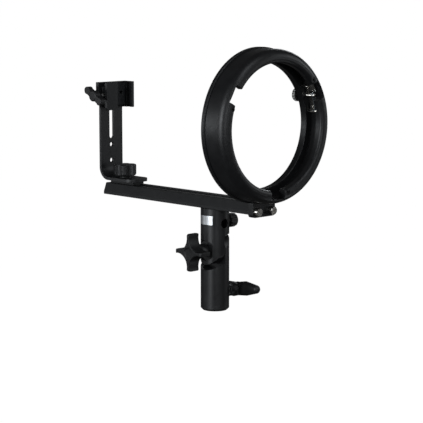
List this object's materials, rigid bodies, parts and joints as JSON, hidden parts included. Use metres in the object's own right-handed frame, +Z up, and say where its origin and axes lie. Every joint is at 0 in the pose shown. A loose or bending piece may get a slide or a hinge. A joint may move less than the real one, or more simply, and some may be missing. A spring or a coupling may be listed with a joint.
{
  "type": "umbrella swivel bracket",
  "caption": "Speedlight bracket: tilting stand swivel with umbrella hole, slotted rail, sliding L bracket with clamping flash shoe, and a bayonet ring for softboxes.",
  "frame": {"origin": "centre of the stand socket's mouth, where the stand's spigot enters", "axes": "+Z up along the stand socket, +X along the rail from the flash shoe towards the bayonet ring, -Y the side of the tilt knob"},
  "size_m": [0.2642, 0.158, 0.2768],
  "materials": {
    "cast_black": "satin black paint on cast aluminium",
    "anodised_black": "satin black anodised aluminium",
    "knob_black": "moulded black plastic",
    "bright_steel": "polished nickel plate",
    "zinc_steel": "satin zinc plate",
    "black_steel": "black oxide",
    "spring_steel": "satin",
    "fibre": "matte",
    "blank_silver": "satin"
  },
  "bodies": {
    "base": {"swivel_base": "cast_black"},
    "stand_clamp": {"stand_screw": "zinc_steel", "stand_handle": "knob_black"},
    "tilt_clamp": {"tilt_bolt": "zinc_steel", "tilt_washer": "black_steel", "tilt_knob": "knob_black"},
    "head": {"swivel_head": "cast_black", "friction_disc": "fibre", "name_plate": "blank_silver", "rail": "anodised_black", "rail_screw": "black_steel", "ring_block": "anodised_black", "block_screws": "bright_steel", "ring_foot_screws": "black_steel", "mount_ring": "anodised_black", "back_ring": "anodised_black", "back_ring_screws": "black_steel", "stop_screws": "black_steel", "lock_plate": "bright_steel", "lock_plate_screws": "bright_steel", "lock_spring": "spring_steel"},
    "umbrella_clamp": {"umbrella_screw": "zinc_steel", "umbrella_knob": "knob_black"},
    "lock": {"lock_pin": "bright_steel", "lock_pull": "zinc_steel"},
    "flash_arm": {"flash_bracket": "cast_black", "guide_block": "knob_black", "slide_nut": "zinc_steel", "foot_stud": "zinc_steel", "foot_washer": "black_steel"},
    "foot_clamp": {"foot_knob": "knob_black"},
    "flash_shoe": {"shoe_base": "anodised_black", "shoe_bolt": "black_steel", "shoe_washer": "zinc_steel", "shoe_spring_plate": "spring_steel"},
    "jaw": {"shoe_jaw": "anodised_black"},
    "shoe_clamp": {"shoe_screw": "zinc_steel", "shoe_knob": "knob_black"}
  },
  "joints": [
    {"name": "stand_clamp_turn", "type": "hinge", "parent": "base", "child": "stand_clamp", "pos_m": [0, 0.02, 0.0175], "axis": [0, 1, 0], "continuous": true},
    {"name": "tilt_clamp_turn", "type": "hinge", "parent": "base", "child": "tilt_clamp", "pos_m": [0, -0.02, 0.0643], "axis": [0, 1, 0], "continuous": true},
    {"name": "head_tilt", "type": "hinge", "parent": "base", "child": "head", "pos_m": [0, 0, 0.0643], "axis": [0, 1, 0], "range_deg": [-90, 90]},
    {"name": "umbrella_clamp_turn", "type": "hinge", "parent": "head", "child": "umbrella_clamp", "pos_m": [0, 0.02, 0.0926], "axis": [0, 1, 0], "continuous": true},
    {"name": "lock_pin_pull", "type": "slide", "parent": "head", "child": "lock", "axis": [-1, 0, 0], "range_m": [0, 0.005], "stiffness_N_per_m": 600, "springref_m": -0.004},
    {"name": "flash_arm_slide", "type": "slide", "parent": "head", "child": "flash_arm", "axis": [1, 0, 0], "range_m": [-0.005, 0.09]},
    {"name": "foot_clamp_turn", "type": "hinge", "parent": "flash_arm", "child": "foot_clamp", "pos_m": [-0.143, 0, 0.134], "axis": [0, 0, 1], "continuous": true},
    {"name": "flash_shoe_slide", "type": "slide", "parent": "flash_arm", "child": "flash_shoe", "axis": [0, 0, 1], "range_m": [-0.041, 0.003]},
    {"name": "jaw_slide", "type": "slide", "parent": "flash_shoe", "child": "jaw", "axis": [0, 1, 0], "range_m": [0, 0.0035]},
    {"name": "shoe_clamp_turn", "type": "hinge", "parent": "jaw", "child": "shoe_clamp", "pos_m": [-0.157, -0.03, 0.218], "axis": [0, 1, 0], "range_deg": [0, 1260]}
  ],
  "couplings": [
    {"joint": "jaw_slide", "follows": "shoe_clamp_turn", "m_per_rad": 0.000159}
  ]
}
